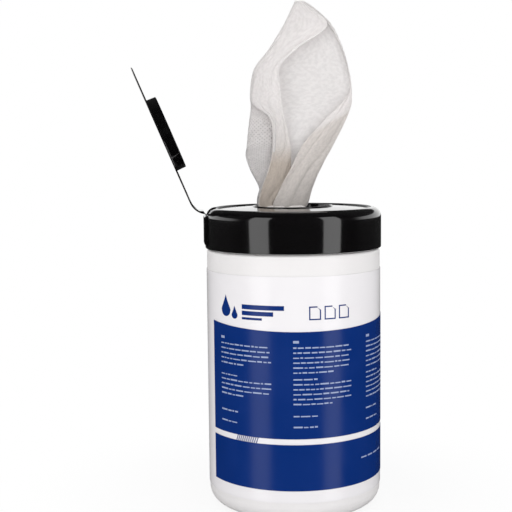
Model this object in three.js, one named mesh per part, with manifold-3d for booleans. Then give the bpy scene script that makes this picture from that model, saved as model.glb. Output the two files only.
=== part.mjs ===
// A canister of degreasing wipes: a blow-moulded tub with a wrapped label, a snap-on cap with a
// star-slit opening, a flip lid on a living hinge, the roll inside and the first wipe pulled up.
// Millimetres, +Z up. The origin is on the tub's axis, on the surface it stands on. The lid hinges
// on the -X side, and the label's front faces -Y.
import * as THREE from "three";
import { mergeVertices } from "three/addons/utils/BufferGeometryUtils.js";
import Module from "manifold-3d";

// Tub
const tubRadius = 54.2;
const tubWall = 1.3;
const tubHeight = 160.95;
const baseCorner = 10;
const baseGrooveRadius = 30;
const baseGrooveWidth = 8;
const baseGrooveDepth = 0.8;
const topCorner = 2;
const neckStep = 1.8;
const neckHeight = 19.3;
const neckBeadHeight = 0.45;
const neckBeadWidth = 2;
const neckBeadLevel = 8.5;

// Wrapped label and its two printed fields
const labelGap = 0.1;
const labelThickness = 0.3;
const labelBottom = 13;
const labelTopMargin = 12.45;
const inkThickness = 0.2;
const inkStart = -69.6;
const inkEnd = 212;
const panelTopMargin = 32.5;
const panelTilt = 4.9;
const bandBottom = 20.5;
const bandTop = 48.5;
const stripeHeight = 3.5;

// Cap
const capOverhang = 0.9;
const capHeight = 24.95;
const capWall = 1.8;
const capSeatGap = 0.5;
const shoulderRadius = 6;
const innerCorner = 6.5;
const skirtEdge = 0.5;
const recessInset = 6.1;
const recessDepth = 0.75;
const crownRise = 1.15;
const wellRadius = 24.2;
const wellWall = 1.4;
const wellDepth = 6.8;
const mouthBeadHeight = 0.6;
const mouthBeadWidth = 1;
const petalThickness = 1.2;
const petalHole = 7.2;
const slitCount = 8;
const slitWidth = 1;
const slitReach = 15;
const snapBeadClearance = 0.1;

// Hinge: where the lid turns, and the flat pad and the channel that serve it
const hingeInset = 0.05;
const hingeDrop = 3.6;
const hingeWidth = 20;
const hingeSideGap = 0.4;
const padProud = 0.75;
const padTopDrop = 4.5;
const padBottomRise = 1.6;
const padChamfer = 1.3;
const channelDepth = 1.2;
const lipPocketDepth = 2.05;
const webThickness = 0.35;
const webLength = 2.52;
const webGap = 0.6;
const webAngle = 133;

// Flip lid, drawn shut and then swung open
const openAngle = 112.86;
const lidClearance = 3.5;
const lidThickness = 1;
const lidLift = 5.47;
const legThickness = 0.84;
const legTurn = 57;
const lipHeight = 0.7;
const lipLength = 11.5;
const lipSetback = 4.5;
const plugClearance = 0.6;
const plugTaper = 0.2;
const plugWall = 1.2;
const plugDepth = 6;

// Roll of wipes
const rollClearance = 2.9;
const rollHeight = 150;
const coreRadius = 14;
const rollTurns = 6;
const turnGroove = 0.8;
const restGap = 0.3;

// First wipe: a strand from the roll's core, a bunched neck and the sheet above it
const wipeHeight = 126.2;
const strandClearance = 1.1;
const strandDrop = 45;
const foldCount = 9;
const foldDepth = 0.06;
const sheetThickness = 1;
const tuckDepth = 4;

const facets = 48;
const arcSteps = 3;
const weldDistance = 0.01;

const neckRadius = tubRadius - neckStep;
const labelTop = tubHeight - labelTopMargin;
const panelTop = labelTop - panelTopMargin;
const panelBottom = bandTop + stripeHeight;
const capRadius = tubRadius + capOverhang;
const capTop = tubHeight + capSeatGap + capHeight;
const recessRadius = capRadius - recessInset;
const recessFloor = capTop - recessDepth;
const crownTop = recessFloor + crownRise;
const wellFloor = crownTop + mouthBeadHeight - wellDepth;
const shoulder = { r: capRadius - shoulderRadius, z: capTop - shoulderRadius };
const hingeReach = capRadius - hingeInset;
const hinge = { x: -hingeReach, z: capTop - hingeDrop };
const lidRadius = recessRadius - lidClearance;
const plugRadius = wellRadius - plugClearance;
const strandRadius = petalHole - strandClearance;
const rollRadius = tubRadius - tubWall - rollClearance;

const wasm = await Module();
wasm.setup();

function toSolid(geometry) {
  const plain = geometry.clone();
  plain.deleteAttribute("normal");
  plain.deleteAttribute("uv");
  const merged = mergeVertices(plain, 1e-4);
  return new wasm.Manifold(
    new wasm.Mesh({
      numProp: 3,
      vertProperties: merged.attributes.position.array,
      triVerts: new Uint32Array(merged.index.array),
    }),
  );
}

// The solid's triangles, with corners closer than the weld distance made one.
function toGeometry(solid) {
  const made = solid.getMesh();
  const raw = new THREE.BufferGeometry();
  raw.setAttribute("position", new THREE.BufferAttribute(made.vertProperties, 3));
  raw.setIndex(new THREE.BufferAttribute(made.triVerts, 1));
  const geometry = mergeVertices(raw, weldDistance);
  const corners = geometry.index.array;
  const kept = [];
  for (let i = 0; i < corners.length; i += 3) {
    const [a, b, c] = corners.slice(i, i + 3);
    if (a !== b && b !== c && c !== a) kept.push(a, b, c);
  }
  geometry.setIndex(kept);
  geometry.computeVertexNormals();
  return geometry;
}

const radians = THREE.MathUtils.degToRad;

// Points on an arc in the radius-height plane. Angles are in degrees from the radius direction.
function arc(r, z, radius, from, to, steps = arcSteps) {
  return Array.from({ length: steps + 1 }, (_, i) => {
    const angle = radians(from + ((to - from) * i) / steps);
    return [r + radius * Math.cos(angle), z + radius * Math.sin(angle)];
  });
}

// A closed or axis-to-axis profile of [radius, height] pairs, turned round the tub's axis.
function turned(profile, steps = facets) {
  const points = profile.map(([r, z]) => new THREE.Vector2(r, z));
  return toSolid(new THREE.LatheGeometry(points, steps).rotateX(Math.PI / 2));
}

function closed(profile) {
  return [...profile, profile[0]];
}

// An outline in the X-Z plane, extruded along Y and centred on it.
function ribbed(shape, width) {
  const geometry = new THREE.ExtrudeGeometry(shape, {
    depth: width,
    bevelEnabled: false,
    curveSegments: 8,
  });
  return toSolid(geometry.translate(0, 0, -width / 2).rotateX(Math.PI / 2));
}

function block(x0, x1, width, z0, z1) {
  const geometry = new THREE.BoxGeometry(x1 - x0, width, z1 - z0);
  return toSolid(geometry.translate((x0 + x1) / 2, 0, (z0 + z1) / 2));
}

const white = new THREE.MeshStandardMaterial({ color: 0xf2f1ef, roughness: 0.45 });
const film = new THREE.MeshStandardMaterial({ color: 0xf4f3f4, roughness: 0.3 });
const ink = new THREE.MeshStandardMaterial({ color: 0x0c2a63, roughness: 0.3 });
const gloss = new THREE.MeshStandardMaterial({ color: 0x0a0a0b, roughness: 0.15 });
const cloth = new THREE.MeshStandardMaterial({ color: 0xe9e5e3, roughness: 0.95 });

const pack = new THREE.Group();

function add(name, solid, material, parent = pack) {
  const mesh = new THREE.Mesh(toGeometry(solid), material);
  mesh.name = name;
  parent.add(mesh);
}

// Blow-moulded tub: a rounded foot with a moulded ring, a straight wall and a plain neck with a bead.
function tub() {
  const groove = [baseGrooveRadius - baseGrooveWidth / 2, baseGrooveRadius + baseGrooveWidth / 2];
  const innerCorner = baseCorner - tubWall;
  const neckTop = tubHeight + neckHeight;
  const bead = tubHeight + neckBeadLevel;
  return turned([
    [0, 0],
    [groove[0], 0],
    [groove[0] + baseGrooveDepth, baseGrooveDepth],
    [groove[1] - baseGrooveDepth, baseGrooveDepth],
    [groove[1], 0],
    ...arc(tubRadius - baseCorner, baseCorner, baseCorner, -90, 0, 6),
    ...arc(tubRadius - topCorner, tubHeight - topCorner, topCorner, 0, 78, 3),
    [neckRadius, tubHeight],
    [neckRadius, bead - neckBeadWidth],
    [neckRadius + neckBeadHeight, bead],
    [neckRadius, bead + neckBeadWidth / 2],
    [neckRadius, neckTop - tubWall / 2],
    [neckRadius - tubWall / 2, neckTop],
    [neckRadius - tubWall, neckTop],
    [neckRadius - tubWall, tubHeight - tubWall],
    [tubRadius - tubWall, tubHeight - tubWall - topCorner],
    ...arc(tubRadius - baseCorner, baseCorner, innerCorner, 0, -90, 5),
    [0, tubWall],
  ]);
}

const labelInner = tubRadius + labelGap;
const labelOuter = labelInner + labelThickness;

function sleeve(inner, outer, bottom, top) {
  return turned(closed([[outer, bottom], [outer, top], [inner, top], [inner, bottom]]));
}

// A printed field: a thin skin on the label between two angles, counted from -Y towards +X.
function printedField(bottom, top) {
  const inner = labelOuter + labelGap;
  const outer = inner + inkThickness;
  const from = radians(inkStart - 90);
  const to = radians(inkEnd - 90);
  const outline = new THREE.Shape();
  outline.absarc(0, 0, outer, from, to, false);
  outline.absarc(0, 0, inner, to, from, true);
  const geometry = new THREE.ExtrudeGeometry(outline, {
    depth: top - bottom,
    bevelEnabled: false,
    curveSegments: facets / 2,
  });
  return toSolid(geometry.translate(0, 0, bottom));
}

// The upper field's top edge is a leaning plane, lowest at the front.
function upperField() {
  const rise = 2 * labelOuter * Math.tan(radians(panelTilt));
  const tall = printedField(panelBottom, panelTop + rise);
  const cover = new THREE.BoxGeometry(4 * tubRadius, 5 * tubRadius, 2 * tubRadius);
  cover.translate(0, 2 * tubRadius, tubRadius);
  cover.rotateX(radians(panelTilt));
  cover.translate(0, -labelOuter, panelTop);
  return tall.subtract(toSolid(cover));
}

// Cap: a skirt with a round shoulder, a shallow recess with a low crown for the lid, a well whose
// mouth has a bead, and a star-slit floor.
function capShell() {
  const skirtBottom = capTop - capHeight;
  const innerRadius = capRadius - capWall;
  const underside = recessFloor - capWall;
  const floorUnder = wellFloor - petalThickness;
  const snapLevel = tubHeight + neckBeadLevel - 2 * neckBeadWidth;
  const snapRadius = neckRadius + neckBeadHeight + snapBeadClearance;
  return turned([
    [0, floorUnder],
    [wellRadius + wellWall, floorUnder],
    [wellRadius + wellWall, underside + crownRise - mouthBeadHeight],
    ...arc(innerRadius - innerCorner, underside - innerCorner, innerCorner, 90, 0),
    [innerRadius, snapLevel + neckBeadWidth],
    [snapRadius, snapLevel],
    [innerRadius, snapLevel - neckBeadWidth],
    [innerRadius, skirtBottom],
    [capRadius - skirtEdge, skirtBottom],
    [capRadius, skirtBottom + skirtEdge],
    ...arc(shoulder.r, shoulder.z, shoulderRadius, 0, 90, 7),
    [recessRadius, capTop],
    [recessRadius, recessFloor],
    [wellRadius + mouthBeadWidth, crownTop],
    [wellRadius + mouthBeadWidth, crownTop + mouthBeadHeight],
    [wellRadius, crownTop + mouthBeadHeight],
    [wellRadius, wellFloor],
    [0, wellFloor],
  ]);
}

// The opening in the well's floor: a round hole with slits between the petals.
function starOpening() {
  const outline = new THREE.Shape();
  const half = slitWidth / 2;
  const inset = Math.sqrt(petalHole * petalHole - half * half);
  const corner = (angle, along, across) => [
    along * Math.cos(angle) - across * Math.sin(angle),
    along * Math.sin(angle) + across * Math.cos(angle),
  ];
  const step = (2 * Math.PI) / slitCount;
  for (let i = 0; i < slitCount; i++) {
    const angle = i * step;
    const start = corner(angle, inset, -half);
    if (i === 0) outline.moveTo(...start);
    else outline.lineTo(...start);
    outline.lineTo(...corner(angle, slitReach, -half));
    outline.lineTo(...corner(angle, slitReach, half));
    outline.lineTo(...corner(angle, inset, half));
    outline.lineTo(...corner(angle + step / 3, petalHole, 0));
    outline.lineTo(...corner(angle + (2 * step) / 3, petalHole, 0));
  }
  outline.closePath();
  const geometry = new THREE.ExtrudeGeometry(outline, { depth: 3 * petalThickness, bevelEnabled: false });
  return toSolid(geometry.translate(0, 0, wellFloor - 2 * petalThickness));
}

// The lid's leg lies in a channel over the shoulder, with a deeper pocket for the lip at its foot.
function hingeChannel() {
  const outer = shoulderRadius * 1.5;
  const band = (depth, from, to) =>
    turned(
      closed([
        ...arc(shoulder.r, shoulder.z, shoulderRadius - depth, to, from, 6),
        ...arc(shoulder.r, shoulder.z, outer, from, to, 6),
      ]),
    );
  const slot = block(
    -capRadius - 2 * shoulderRadius,
    -recessRadius + 2 * shoulderRadius,
    hingeWidth + 2 * hingeSideGap,
    capTop - 2 * shoulderRadius,
    capTop + 2 * shoulderRadius,
  );
  return band(channelDepth, 18, 96).add(band(lipPocketDepth, 22, 57)).intersect(slot);
}

// Flat pad on the skirt that the web is moulded to, with its half of the web.
function hingePad() {
  const face = -capRadius - padProud;
  const top = capTop - padTopDrop;
  const bottom = capTop - capHeight + padBottomRise;
  const root = -capRadius + capWall * 0.6;
  const outline = new THREE.Shape();
  outline.moveTo(root, bottom);
  outline.lineTo(face + padChamfer, bottom);
  outline.lineTo(face, bottom + padChamfer);
  outline.lineTo(face, top - padProud);
  outline.lineTo(face + padProud, top);
  outline.lineTo(root, top);
  outline.closePath();
  return ribbed(outline, hingeWidth).add(webHalf(-1, webAngle, hinge.x, hinge.z));
}

// Half of the thin web, from the pivot's gap outwards: side 1 is the lid's half, side -1 the cap's.
function webHalf(side, angle, x, z) {
  const along = [side * Math.cos(radians(angle)), side * Math.sin(radians(angle))];
  const across = [-along[1] * (webThickness / 2), along[0] * (webThickness / 2)];
  const near = webGap / 2;
  const far = webLength / 2 + webThickness;
  const point = (distance, sign) => [
    x + along[0] * distance + sign * across[0],
    z + along[1] * distance + sign * across[1],
  ];
  const outline = new THREE.Shape();
  outline.moveTo(...point(near, -1));
  outline.lineTo(...point(far, -1));
  outline.lineTo(...point(far, 1));
  outline.lineTo(...point(near, 1));
  outline.closePath();
  return ribbed(outline, hingeWidth - webThickness);
}

function cap() {
  return capShell().subtract(starOpening()).subtract(hingeChannel()).add(hingePad());
}

// Flip lid, shut, with the pivot at the origin: a thin disc, the plug ring under it, and a leg that
// curls down over the shoulder and ends in a lip beside the web.
function lid() {
  const centre = hingeReach;
  const top = lidLift + lidThickness / 2;
  const under = lidLift - lidThickness / 2;
  const edge = lidThickness / 3;
  const flap = turned([
    [0, under],
    [plugRadius - plugWall, under],
    [plugRadius - plugWall - plugTaper, under - plugDepth],
    [plugRadius - plugTaper, under - plugDepth],
    [plugRadius, under],
    [lidRadius - edge, under],
    [lidRadius, under + edge],
    [lidRadius, top - edge],
    [lidRadius - edge, top],
    [0, top],
  ]);
  const shutAngle = webAngle - openAngle;
  const foot = {
    x: (webLength / 2) * Math.cos(radians(shutAngle)),
    z: (webLength / 2) * Math.sin(radians(shutAngle)),
  };
  const radius = (lidLift - foot.z) / (1 - Math.cos(radians(legTurn)));
  const bend = { x: foot.x + radius * Math.sin(radians(legTurn)), z: lidLift - radius };
  const at = (distance, turn) => [
    bend.x - distance * Math.sin(radians(turn)),
    bend.z + distance * Math.cos(radians(turn)),
  ];
  const inner = radius - legThickness / 2;
  const outer = radius + legThickness / 2;
  const root = centre - lidRadius + lidThickness * 4;
  const lipStart = legTurn - lipSetback - lipLength;
  const outline = new THREE.Shape();
  outline.moveTo(root, under + edge);
  outline.lineTo(root, top - edge);
  outline.lineTo(...at(outer, 0));
  outline.absarc(bend.x, bend.z, outer, radians(90), radians(90 + legTurn), false);
  outline.lineTo(...at(inner, legTurn));
  outline.lineTo(...at(inner - lipHeight, legTurn - lipSetback));
  outline.lineTo(...at(inner, lipStart));
  outline.absarc(bend.x, bend.z, inner, radians(90 + lipStart), radians(90), true);
  outline.closePath();
  const leg = ribbed(outline, hingeWidth);
  return flap.translate([centre, 0, 0]).add(leg).add(webHalf(1, shutAngle, 0, 0));
}

// Coreless roll: one solid whose ends show its turns as rings.
function roll() {
  const bottom = tubWall + restGap;
  const top = bottom + rollHeight;
  const foot = baseCorner - tubWall - rollClearance;
  const pitch = (rollRadius - coreRadius) / rollTurns;
  const rings = [];
  for (let i = 0; i < rollTurns; i++) {
    const outside = rollRadius - i * pitch;
    rings.push([outside - turnGroove, top]);
    rings.push([outside - pitch + turnGroove, top]);
    rings.push([outside - pitch, i === rollTurns - 1 ? top - turnGroove / 2 : top - turnGroove]);
  }
  return turned(
    closed([
      [coreRadius, bottom],
      ...arc(rollRadius - foot, bottom + foot, foot, -90, 0, 3),
      [rollRadius, top - turnGroove],
      ...rings,
    ]),
    facets,
  );
}

// The sheet by its folds, in hundredths of its height. Each row is one height above the cap's crown,
// with the [x, y] of the left strip's free edge, the left strip's fold, the back flap's edge, the
// right fold and the right strip's free edge, and how far the back and the strips belly out.
const sheetFolds = [
  [0.2, [-8.7, -4.8], [-16.6, -6.3], [-15.5, -0.8], [7.1, 0], [-10.3, -8.7], 1.6],
  [8.5, [-4, -5.5], [-15.8, -7.9], [-16.5, 0], [9.9, 0], [-7.1, -9.5], 2.4],
  [19.6, [-1.2, -7.1], [-11.9, -9.5], [-21.6, 0], [14.7, -0.8], [-1.2, -11.1], 4],
  [29.5, [-1.1, -7.9], [-10.3, -9.5], [-22.7, 0.8], [19.8, -0.8], [4, -11.1], 5.5],
  [43.3, [-4, -9.5], [-11.3, -8.7], [-21.1, 0.8], [27.1, 0], [16.6, -8.7], 6.3],
  [50.5, [-5.4, -10.3], [-19.4, -6.3], [-20.2, 0.8], [29.6, 0], [24.2, -6.3], 6.3],
  [57.2, [-6, -10.3], [-19.8, -4.8], [-20, 0.8], [29.6, 0], [28.5, -3.2], 6.3],
  [67.5, [-6.3, -9.5], [-17.9, -4], [-17.7, 0.8], [28.1, 0.8], [27.4, -1.6], 6.3],
  [77, [2.4, -7.1], [-10.7, -3.2], [-10.5, 0.8], [24.9, 0.8], [24.6, -0.8], 4.8],
  [88.9, [17.4, -3.2], [-3.2, -3.2], [-3, 0], [18.9, 0.8], [18.7, 0], 2.4],
  [100, [6.3, -2.8], [1.2, -2.8], [1.2, -0.6], [6.8, -0.3], [7, -0.6], 0.2],
];

const sheetRows = sheetFolds.map(([z, edge, fold, flap, right, strip, belly]) => {
  const size = (share) => (share * wipeHeight) / 100;
  const spot = (pair) => pair.map(size);
  return {
    z: crownTop + size(z),
    edge: spot(edge),
    fold: spot(fold),
    flap: spot(flap),
    right: spot(right),
    strip: spot(strip),
    belly: size(belly),
  };
});

// The nine points that a row's section runs through, from one free edge to the other.
function sectionPoints(row) {
  const tuck = row.fold[0] - row.flap[0] > tuckDepth / 2 ? tuckDepth : -tuckDepth / 8;
  const back = (share) => [
    row.flap[0] + (row.right[0] - row.flap[0]) * share,
    Math.max(row.flap[1], row.right[1]) + row.belly,
  ];
  const middle = (a, b) => [(a[0] + b[0]) / 2, Math.min(a[1], b[1]) - row.belly / 4];
  return [
    row.edge,
    middle(row.edge, row.fold),
    row.fold,
    [row.fold[0] + tuck, (row.fold[1] + row.flap[1]) / 2],
    row.flap,
    back(0.3),
    back(0.7),
    row.right,
    middle(row.right, row.strip),
    row.strip,
  ].map(([x, y]) => new THREE.Vector3(x, y, row.z));
}

function sheet() {
  const across = 27;
  const up = 18;
  const ribs = sheetRows.map(sectionPoints);
  const lines = ribs[0].map((_, i) => new THREE.CatmullRomCurve3(ribs.map((row) => row[i])));
  const grid = [];
  for (let j = 0; j <= up; j++) {
    const section = new THREE.CatmullRomCurve3(lines.map((line) => line.getPoint(j / up)));
    grid.push(Array.from({ length: across + 1 }, (_, i) => section.getPoint(i / across)));
  }
  return slab(grid, sheetThickness);
}

// A grid of points given a thickness along its normals, as one closed body.
function slab(grid, thickness) {
  const rows = grid.length;
  const columns = grid[0].length;
  const clamp = (value, top) => Math.min(Math.max(value, 0), top);
  const vertices = [];
  for (const side of [1, -1]) {
    grid.forEach((line, j) =>
      line.forEach((point, i) => {
        const du = grid[j][clamp(i + 1, columns - 1)].clone().sub(grid[j][clamp(i - 1, columns - 1)]);
        const dv = grid[clamp(j + 1, rows - 1)][i].clone().sub(grid[clamp(j - 1, rows - 1)][i]);
        const normal = du.cross(dv).normalize().multiplyScalar((side * thickness) / 2);
        vertices.push(...point.clone().add(normal).toArray());
      }),
    );
  }
  const index = [];
  const layer = rows * columns;
  const quad = (a, b, c, d) => index.push(a, b, c, a, c, d);
  for (let j = 0; j < rows - 1; j++) {
    for (let i = 0; i < columns - 1; i++) {
      const a = j * columns + i;
      quad(a, a + 1, a + columns + 1, a + columns);
      quad(layer + a, layer + a + columns, layer + a + columns + 1, layer + a + 1);
    }
  }
  for (let j = 0; j < rows - 1; j++) {
    const left = j * columns;
    const right = left + columns - 1;
    quad(left, left + columns, layer + left + columns, layer + left);
    quad(right, layer + right, layer + right + columns, right + columns);
  }
  for (let i = 0; i < columns - 1; i++) {
    const low = i;
    const high = (rows - 1) * columns + i;
    quad(low, layer + low, layer + low + 1, low + 1);
    quad(high, high + 1, layer + high + 1, layer + high);
  }
  const geometry = new THREE.BufferGeometry();
  geometry.setAttribute("position", new THREE.Float32BufferAttribute(vertices, 3));
  geometry.setIndex(index);
  return toSolid(geometry);
}

// The gathered cloth from the roll's core through the star opening to the bunch in the well's mouth.
function strand() {
  const low = sheetRows[0];
  const mouth = {
    x: (low.fold[0] + low.right[0]) / 2,
    y: (low.strip[1] + low.right[1]) / 2,
    wide: (low.right[0] - low.fold[0]) / 2,
    deep: (low.right[1] - low.strip[1]) / 2 + 1,
  };
  const levels = [
    { z: wellFloor - strandDrop, wide: strandRadius * 0.8, deep: strandRadius * 0.8, part: 0 },
    { z: wellFloor - 2 * petalThickness, wide: strandRadius, deep: strandRadius, part: 0 },
    { z: wellFloor + petalThickness / 2, wide: strandRadius, deep: strandRadius, part: 0.02 },
    { z: wellFloor + wellDepth * 0.5, wide: mouth.wide * 0.72, deep: mouth.deep, part: 0.6 },
    { z: wellFloor + wellDepth, wide: mouth.wide * 0.97, deep: mouth.deep, part: 1 },
    { z: low.z + strandRadius / 2, wide: mouth.wide * 0.93, deep: mouth.deep * 0.92, part: 1 },
    { z: low.z + strandRadius, wide: mouth.wide * 0.6, deep: mouth.deep * 0.5, part: 1 },
  ];
  const around = 36;
  const vertices = [];
  for (const level of levels) {
    for (let i = 0; i < around; i++) {
      const angle = (2 * Math.PI * i) / around;
      const ripple = 1 + foldDepth * Math.cos(foldCount * angle);
      vertices.push(
        mouth.x * level.part + level.wide * ripple * Math.cos(angle),
        mouth.y * level.part + level.deep * ripple * Math.sin(angle),
        level.z,
      );
    }
  }
  const last = levels.length - 1;
  vertices.push(0, 0, levels[0].z, mouth.x, mouth.y, levels[last].z);
  const bottom = levels.length * around;
  const index = [];
  for (let i = 0; i < around; i++) {
    const next = (i + 1) % around;
    for (let j = 0; j < last; j++) {
      const a = j * around + i;
      const b = j * around + next;
      index.push(a, b, b + around, a, b + around, a + around);
    }
    index.push(bottom, next, i);
    index.push(bottom + 1, last * around + i, last * around + next);
  }
  const geometry = new THREE.BufferGeometry();
  geometry.setAttribute("position", new THREE.Float32BufferAttribute(vertices, 3));
  geometry.setIndex(index);
  return toSolid(geometry);
}

add("canister", tub(), white);
add("label", sleeve(labelInner, labelOuter, labelBottom, labelTop), film);
add("label_blue_panel", upperField(), ink);
add("label_blue_band", printedField(bandBottom, bandTop), ink);
add("cap", cap(), gloss);
add("wipe_roll", roll(), cloth);
add("wipe", sheet().add(strand()), cloth);

const lidSwing = new THREE.Group();
lidSwing.position.set(hinge.x, 0, hinge.z);
lidSwing.rotation.y = -radians(openAngle);
add("lid", lid(), gloss, lidSwing);
pack.add(lidSwing);

export default pack;
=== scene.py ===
import math
import random

import bpy
from mathutils import Matrix, Vector, noise


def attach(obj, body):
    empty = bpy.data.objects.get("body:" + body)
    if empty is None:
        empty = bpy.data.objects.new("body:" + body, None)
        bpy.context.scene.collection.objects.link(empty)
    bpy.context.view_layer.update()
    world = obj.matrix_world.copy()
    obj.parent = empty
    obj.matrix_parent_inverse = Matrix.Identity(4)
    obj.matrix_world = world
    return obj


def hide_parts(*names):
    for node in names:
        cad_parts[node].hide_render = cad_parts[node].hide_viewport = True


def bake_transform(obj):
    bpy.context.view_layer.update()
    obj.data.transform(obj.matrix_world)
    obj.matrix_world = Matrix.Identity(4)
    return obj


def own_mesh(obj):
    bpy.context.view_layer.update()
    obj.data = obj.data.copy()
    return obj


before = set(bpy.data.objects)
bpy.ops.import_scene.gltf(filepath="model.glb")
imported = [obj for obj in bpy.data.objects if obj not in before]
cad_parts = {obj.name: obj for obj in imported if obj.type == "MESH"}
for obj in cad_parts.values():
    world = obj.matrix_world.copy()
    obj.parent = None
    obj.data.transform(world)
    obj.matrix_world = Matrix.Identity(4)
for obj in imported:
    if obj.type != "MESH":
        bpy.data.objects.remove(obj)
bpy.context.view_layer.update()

# The camera stands a little left of the label's front and looks slightly down, from about 0.7 m,
# with a short telephoto lens.
camera_place = (-0.078064, -0.675504, 0.223312)
camera_ahead = Vector((0.0801375, 0.9918380, -0.0991731))
camera_roll = math.radians(-0.6)
camera_lens = 76.14
view_turn = (camera_ahead.to_track_quat("-Z", "Y")
             @ Matrix.Rotation(camera_roll, 4, "Z").to_quaternion())
camera_data = bpy.data.cameras.new("camera")
camera_data.lens = camera_lens
camera_data.sensor_width = 36
camera = bpy.data.objects.new("camera", camera_data)
camera.location = camera_place
camera.rotation_mode = "QUATERNION"
camera.rotation_quaternion = view_turn
bpy.context.scene.collection.objects.link(camera)
bpy.context.scene.camera = camera
bpy.context.scene.view_settings.view_transform = "Standard"

# The studio: a white wall behind, a dark room above and in front, two upright softboxes at the
# sides that reach below the table's level, and a weak fill in front that gloss doesn't show.
room_grey = 1.0
side_grey = 0.62
ground_grey = 0.02
ceiling_grey = 0.03
wall_top = 0.29
wall_edge = 0.015
wall_fade = (-0.25, 0.15)
horizon = (0.485, 0.497)
lamp_aim = Vector((0, 0, 0.17))


def softbox(name, azimuth, distance, width, height, centre_z, radiance):
    """An upright lamp that faces the tub. Azimuth is in degrees from the label's front."""
    data = bpy.data.lights.new(name, "AREA")
    data.shape = "RECTANGLE"
    data.size = width
    data.size_y = height
    data.energy = radiance * math.pi * width * height
    lamp = bpy.data.objects.new(name, data)
    angle = math.radians(azimuth)
    place = Vector((math.sin(angle) * distance, -math.cos(angle) * distance, centre_z))
    lamp.location = place
    lamp.rotation_euler = (lamp_aim - place).to_track_quat("-Z", "Y").to_euler()
    bpy.context.scene.collection.objects.link(lamp)
    return lamp


softbox("softbox_left", azimuth=-50, distance=0.95, width=0.44, height=1.5,
        centre_z=0.22, radiance=1.52)
softbox("softbox_right", azimuth=43.5, distance=0.95, width=0.40, height=1.5,
        centre_z=0.22, radiance=1.64)
fill = softbox("front_fill", azimuth=-6, distance=1.3, width=0.9, height=0.9,
               centre_z=0.5, radiance=0.85)
fill.visible_glossy = False


def ranged(tree, value, start=(0, 1), end=(0, 1), smooth=False):
    """A node that carries a value from one range over to another."""
    node = tree.nodes.new("ShaderNodeMapRange")
    if smooth:
        node.interpolation_type = "SMOOTHSTEP"
    for label, number in zip(("From Min", "From Max", "To Min", "To Max"), (*start, *end)):
        node.inputs[label].default_value = number
    tree.links.new(value, node.inputs["Value"])
    return node


def maths(tree, operation, first, second):
    """The result of a maths node on two values."""
    node = tree.nodes.new("ShaderNodeMath")
    node.operation = operation
    tree.links.new(first, node.inputs[0])
    tree.links.new(second, node.inputs[1])
    return node.outputs[0]


def mixed(tree, share, first, second):
    """Two shaders mixed, by the share of the second."""
    node = tree.nodes.new("ShaderNodeMixShader")
    for socket, source in zip(node.inputs, (share, first, second)):
        tree.links.new(source, socket)
    return node.outputs[0]


world = bpy.data.worlds.new("studio")
bpy.context.scene.world = world
world.use_nodes = True
sky = world.node_tree
nodes, links = sky.nodes, sky.links
nodes.clear()
path = nodes.new("ShaderNodeLightPath")
direction = nodes.new("ShaderNodeTexCoord")
height = nodes.new("ShaderNodeSeparateXYZ")
links.new(direction.outputs["Generated"], height.inputs[0])
shades = nodes.new("ShaderNodeValToRGB")
ramp = shades.color_ramp
ramp.elements[0].position = 0.0
ramp.elements[0].color = (*(ground_grey,) * 3, 1)
ramp.elements[1].position = 1.0
ramp.elements[1].color = (*(ceiling_grey,) * 3, 1)
for place, grey in ((horizon[0], ground_grey), (horizon[1], 1.0), (0.5 + wall_top / 2, 1.0),
                    (0.5 + wall_edge + wall_top / 2, ceiling_grey)):
    ramp.elements.new(place).color = (grey, grey, grey, 1)
scaled = ranged(sky, height.outputs["Z"], start=(-1, 1))
links.new(scaled.outputs["Result"], shades.inputs["Fac"])
sideways = maths(sky, "MULTIPLY", height.outputs["X"], height.outputs["X"])
level = ranged(sky, sideways, end=(room_grey, side_grey))
plain = nodes.new("ShaderNodeBackground")
links.new(level.outputs["Result"], plain.inputs["Color"])
behind = ranged(sky, height.outputs["Y"], start=wall_fade, end=(ground_grey, 1), smooth=True)
wall = nodes.new("ShaderNodeVectorMath")
wall.operation = "SCALE"
links.new(shades.outputs["Color"], wall.inputs[0])
links.new(behind.outputs["Result"], wall.inputs["Scale"])
mirrored = nodes.new("ShaderNodeBackground")
links.new(wall.outputs["Vector"], mirrored.inputs["Color"])
seen = nodes.new("ShaderNodeBackground")
seen.inputs["Color"].default_value = (1, 1, 1, 1)
by_mirror = maths(sky, "MAXIMUM", path.outputs["Is Glossy Ray"],
                  path.outputs["Is Transmission Ray"])
room = mixed(sky, by_mirror, plain.outputs[0], mirrored.outputs[0])
backdrop = mixed(sky, path.outputs["Is Camera Ray"], room, seen.outputs[0])
links.new(backdrop, nodes.new("ShaderNodeOutputWorld").inputs["Surface"])

# The floor is a round white table under the tub. It pales into the white wall away from the tub,
# and glossy surfaces look through it to the lower part of the softboxes.
floor_radius = 0.75
floor_white = 0.85
floor_roughness = 0.9
floor_shadow_share = 0.86
paling_start, paling_end = 0.06, 0.2
floor_sides = 96


def new_piece(name, points, faces, sharp=35.0):
    """A mesh in metres, smooth but for edges sharper than the angle."""
    mesh = bpy.data.meshes.new(name)
    mesh.from_pydata([tuple(p) for p in points], [], faces)
    mesh.validate()
    mesh.polygons.foreach_set("use_smooth", [True] * len(mesh.polygons))
    mesh.set_sharp_from_angle(angle=math.radians(sharp))
    piece = bpy.data.objects.new(name, mesh)
    bpy.context.scene.collection.objects.link(piece)
    return piece


def new_material(name, colour, roughness):
    """A plain material and its shader, to which each piece adds its own finish."""
    material = bpy.data.materials.new(name)
    material.use_nodes = True
    shader = material.node_tree.nodes["Principled BSDF"]
    shader.inputs["Base Color"].default_value = (*colour, 1)
    shader.inputs["Roughness"].default_value = roughness
    return material, shader


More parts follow.
